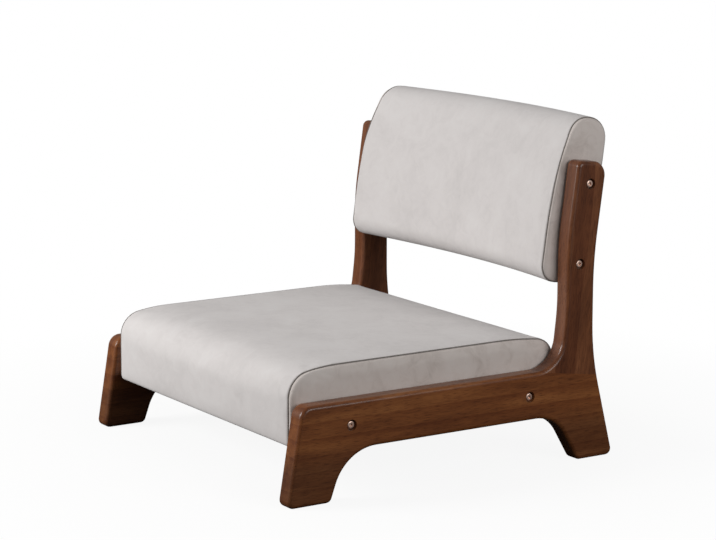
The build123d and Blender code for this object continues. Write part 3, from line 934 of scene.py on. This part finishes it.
def on_back(x, point):
    """A point of the back pad's own plane, which leans with the posts, put into the chair."""
    rear = point.x + math.sqrt(back_radius**2 - x**2) - back_radius + back_concavity
    return Vector((
        x,
        low_bolt.y + rear * math.cos(post_lean) + point.y * math.sin(post_lean),
        low_bolt.z - rear * math.sin(post_lean) + point.y * math.cos(post_lean),
    ))


def top_share(height):
    """0 up to half way up the back pad, easing to 1 at its top."""
    share = min(1.0, max(0.0, (height - taper_start) / (back_top - taper_start)))
    return share**2


def place_on_back(station, index, point):
    """A point of the back pad's outline at a station across it. The top edge rises to its middle."""
    kind, value, side = station
    narrowed = 1 - top_draw_in / back_seam_x * top_share(point.y)
    if kind != "gusset":
        near_top = max(0.0, (point.y - back_top + top_crown_height) / top_crown_height)
        rise = near_top**2 * (1 - (value / back_seam_x) ** 2)
        turned = point - back_out[index] * edge_round(value, back_seam_x, back_edge_radius)
        return on_back(side * value * narrowed, turned + Vector((0, top_crown * rise)))
    angle = value * QUARTER
    seam = back_seam_x * narrowed
    arm = point - back_out[index] * back_edge_radius * (1 - math.cos(EDGE_TURN)) - back_middle
    inward = back_draw_in * (1 - math.cos(angle))
    flat = Vector((
        back_middle.x + arm.x * (1 - inward / back_half_depth),
        back_middle.y + arm.y * (1 - inward / (back_top - back_middle.y)),
    ))
    side_x = back_side_x - top_side_taper * top_share(point.y)
    x = seam + (side_x - seam) * math.sin(angle) ** gusset_power
    return on_back(side * x, flat)


back_stations = both_sides(half_stations(back_seam_x, row_spacing, gusset_steps=5))
back_pad = cushion_mesh("back_pad", back_ring, back_stations, cap_rows=11, place=place_on_back)
back_swell, back_crown = 0.6 * MM, 1.0 * MM
back_flat_edge = 0.2 * MM


def back_reach(point):
    """How far the stuffing may push a point of the back cover."""
    return back_swell + back_crown * max(0.0, 1 - (point.x / back_seam_x) ** 2)


back_places = [vertex.co.copy() for vertex in back_pad.data.vertices]
seam_rows = {
    row * len(back_ring) + i
    for row, station in enumerate(back_stations)
    if station[0] == "seam"
    for i in range(len(back_ring))
}
inflate(
    back_pad,
    [i in seam_rows or abs(p.x) > back_side_x - back_flat_edge for i, p in enumerate(back_places)],
    [back_reach(p) for p in back_places],
)
press_flat(back_pad, back_side_x)
core_above_bottom, core_below_top = 30 * MM, 34 * MM
core_before_middle = 2 * MM


def back_core(point):
    """The point of the back pad's upright middle line nearest to a point of its cover."""
    z = min(max(point.z, back_low[2] + core_above_bottom), back_high[2] - core_below_top)
    bow = math.sqrt(back_radius**2 - point.x**2) - back_radius + back_concavity - core_before_middle
    return Vector((point.x, low_bolt.y + bow + (z - low_bolt.z) * math.tan(post_lean), z))


back_seams = sew_seam(back_pad, back_stations, len(back_ring), back_core)
smooth(back_pad, 1)
# The back's gussets get the same darker suede copy with painted shade
cover_with(back_pad, back_stations, len(back_ring), panel_suede, shaded_gusset_suede)
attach(back_pad, "root")
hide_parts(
    "back_front_foam", "back_rear_foam", "back_cover", "left_back_gusset", "right_back_gusset"
)


# ---- Back seam cord
# The same thin cord of the cover's cloth, sewn in between panel and gusset. It runs as a closed
# loop round each side of the back pad.

for side_name, line in zip(("left", "right"), back_seams):
    cord = seam_cord(side_name + "_back_seam_cord", line, closed=True, radius=seam_cord_radius)
    # Its darker grey is painted shade of the seam's groove, as on the seat
    cord.data.materials.append(cord_painted_shade)
    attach(cord, "root")
    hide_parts(side_name + "_back_piping")


# ---- Bolts, washers and inserts
# Cap-head furniture bolts with a pale copper-nickel plate, sunk in counterbores on plain washers.
# They screw into brass inserts in the frames of seat and back.

copper_nickel = plated_metal(
    "copper_nickel_plate", "#F0D3C3", "#E2BFAD", roughness=0.42, mark_size=0.9 * MM
)
washer_plate = plated_metal("plated_washer", "#8E7A6E", "#78665B", roughness=0.45, mark_size=0.9 * MM)
turned_brass = plated_metal("turned_brass", "#CDA65A", "#B48C42", roughness=0.38, mark_size=0.6 * MM)
finish(copper_nickel, "seat_bolts", "back_bolts")
finish(washer_plate, "seat_bolt_washers", "back_bolt_washers")
finish(turned_brass, "seat_inserts", "back_inserts")


# ---- Floor, light and camera
# A plain pale floor that runs out to white, soft studio light from the front left, and the
# camera at the photograph's viewing angle.

floor_mesh = bpy.data.meshes.new("floor")
floor_builder = bmesh.new()
bmesh.ops.create_circle(floor_builder, cap_ends=True, radius=6.0, segments=96)
floor_builder.to_mesh(floor_mesh)
floor_builder.free()
floor = add_object("floor", floor_mesh)
paper, tree = new_material("pale_floor")


def seen_straight(tree):
    """1 for a ray from the camera, straight or through something clear, and 0 for any other."""
    path = add_node(tree, "ShaderNodeLightPath")
    straight = add_node(
        tree,
        "ShaderNodeMath",
        {0: path.outputs["Is Camera Ray"], 1: path.outputs["Is Transmission Ray"]},
        operation="MAXIMUM",
    )
    return straight.outputs["Value"]


# The camera sees pale paper that keeps the chair's shadow and fades to white from 0.3 to 0.8 m
# out. Other rays see it dark, so that little light bounces up at the wood.
straight = seen_straight(tree)
white = add_node(tree, "ShaderNodeEmission", {"Color": (1, 1, 1, 1), "Strength": 1.0})
dark = add_node(tree, "ShaderNodeBsdfDiffuse", {"Color": linear("#4E4D4C")})
pale = add_node(tree, "ShaderNodeBsdfDiffuse", {"Color": linear("#F4F3F2")})
place = add_node(tree, "ShaderNodeTexCoord").outputs["Object"]
distance = add_node(tree, "ShaderNodeVectorMath", {0: place}, operation="LENGTH")
fade = add_node(
    tree,
    "ShaderNodeMapRange",
    {"Value": distance.outputs["Value"], "From Min": 0.3, "From Max": 0.8, "To Min": 0.91, "To Max": 1.0},
)
shown = add_node(
    tree,
    "ShaderNodeMixShader",
    {"Fac": fade.outputs["Result"], 1: pale.outputs["BSDF"], 2: white.outputs["Emission"]},
)
both = add_node(
    tree,
    "ShaderNodeMixShader",
    {"Fac": straight, 1: dark.outputs["BSDF"], 2: shown.outputs["Shader"]},
)
add_node(tree, "ShaderNodeOutputMaterial", {"Surface": both.outputs["Shader"]})
floor.data.materials.append(paper)

# The camera sees a white room, and the chair gets a low even light from it
world = bpy.data.worlds.new("studio")
bpy.context.scene.world = world
world.use_nodes = True
tree = world.node_tree
tree.nodes.clear()
level = add_node(
    tree, "ShaderNodeMapRange", {"Value": seen_straight(tree), "To Min": 0.22, "To Max": 1.0}
)
sky = add_node(
    tree, "ShaderNodeBackground", {"Color": (1, 1, 1, 1), "Strength": level.outputs["Result"]}
)
add_node(tree, "ShaderNodeOutputWorld", {"Surface": sky.outputs["Background"]})

lamp_aim = Vector((0, 0, 200 * MM))


def softbox(name, direction, distance, size, level):
    """A square area lamp that looks at the chair and lights a face turned to it at that level."""
    lamp = bpy.data.lights.new(name, "AREA")
    lamp.shape = "SQUARE"
    lamp.size = size
    lamp.energy = level * (math.pi * distance) ** 2
    holder = add_object(name, lamp)
    holder.location = lamp_aim + Vector(direction).normalized() * distance
    holder.rotation_euler = (lamp_aim - holder.location).to_track_quat("-Z", "Y").to_euler()


softbox("key_light", direction=(-0.36, -0.84, 0.40), distance=2.4, size=1.0, level=0.86)
softbox("side_fill", direction=(0.90, 0.22, 0.30), distance=2.0, size=0.9, level=0.31)

# The camera aims at a point beside the chair's middle, as the photograph is framed
camera_azimuth, camera_elevation = math.radians(57.265), math.radians(10.524)
camera_distance = 3.174
aim_to_right, aim_back, aim_height = 12 * MM, -15.77 * MM, 222.34 * MM
camera_data = bpy.data.cameras.new("camera")
camera = add_object("camera", camera_data)
bpy.context.scene.camera = camera
to_camera = Vector((
    math.sin(camera_azimuth) * math.cos(camera_elevation),
    -math.cos(camera_azimuth) * math.cos(camera_elevation),
    math.sin(camera_elevation),
))
camera_aim = Vector((math.cos(camera_azimuth), math.sin(camera_azimuth), 0)) * aim_to_right
camera_aim += Vector((0, aim_back, aim_height))
camera.location = camera_aim + to_camera * camera_distance
camera.rotation_euler = (-to_camera).to_track_quat("-Z", "Y").to_euler()
camera_data.sensor_width = 36
camera_data.lens = 124.9
camera_data.clip_end = 50

bpy.context.scene.view_settings.view_transform = "Standard"
